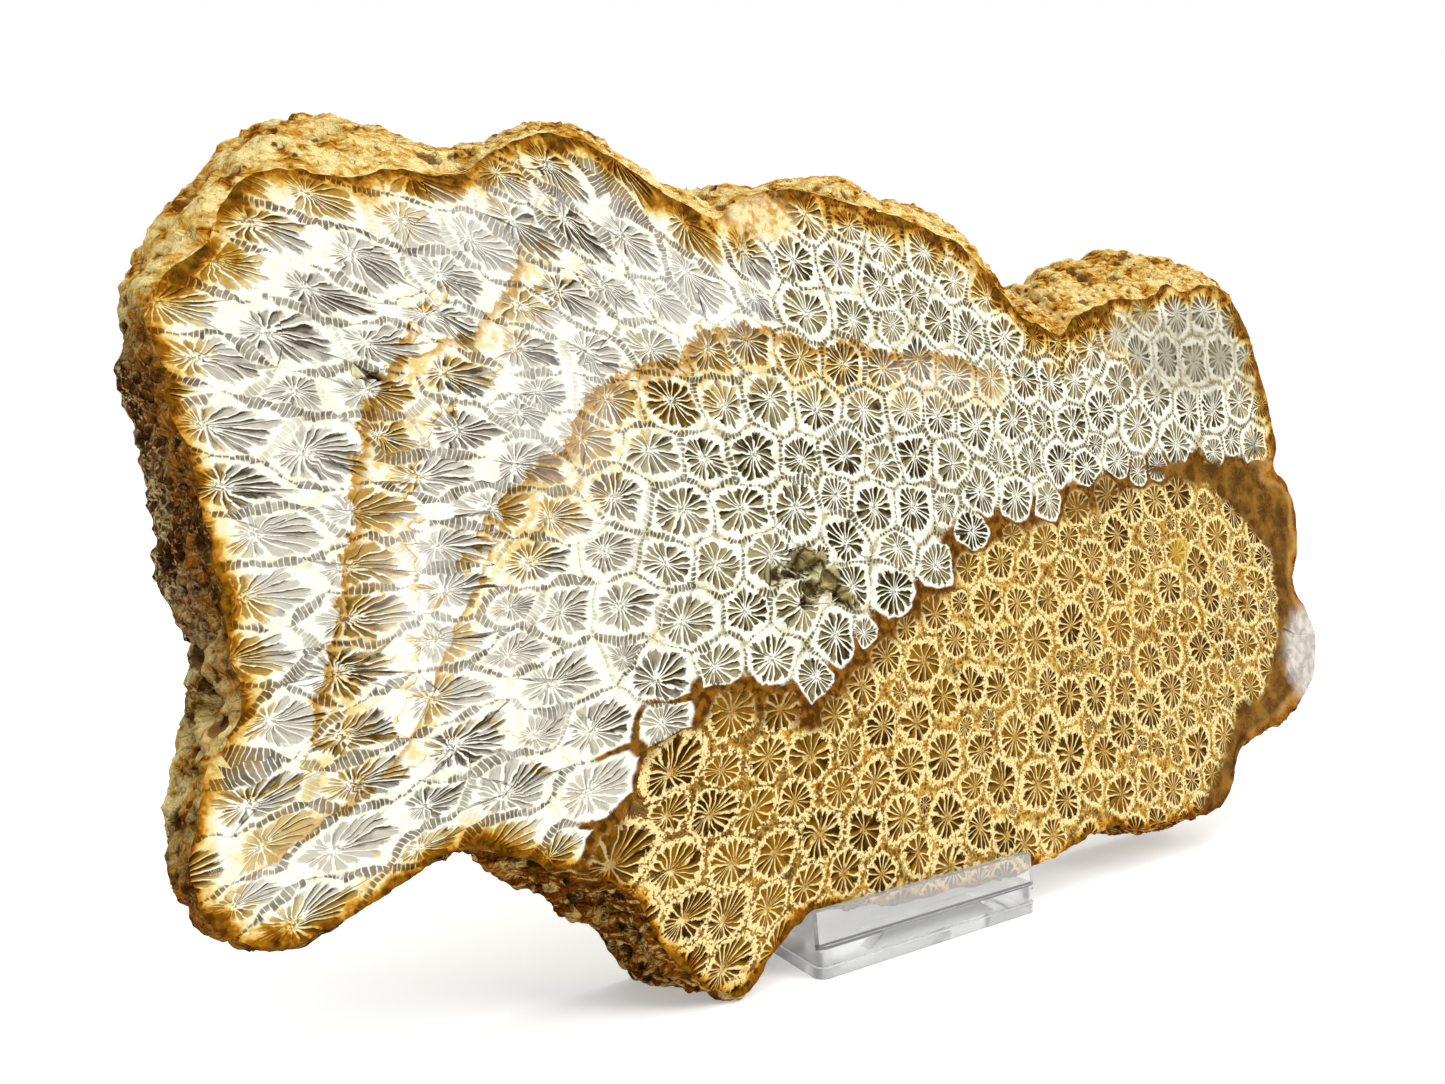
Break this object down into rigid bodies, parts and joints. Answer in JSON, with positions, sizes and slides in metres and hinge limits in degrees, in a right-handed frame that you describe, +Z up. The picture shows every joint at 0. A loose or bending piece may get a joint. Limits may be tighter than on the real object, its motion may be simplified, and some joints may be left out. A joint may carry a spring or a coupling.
{
  "type": "fossil coral slice on stand",
  "caption": "Sawn slab of agatized fossil coral with star-shaped calices and a rough natural rim, standing on edge in a small clear display stand.",
  "frame": {"origin": "on the surface it stands on, under the middle of the whole part's box", "axes": "+X along the slice, -Y the way its cut face looks, +Z up"},
  "size_m": [0.2644, 0.05, 0.1422],
  "materials": {
    "coral": "polished cut faces, rough weathered rim",
    "clear_plastic": "clear moulded plastic, glossy"
  },
  "bodies": {
    "root": {"coral_slice": "coral", "display_stand": "clear_plastic"}
  },
  "joints": []
}
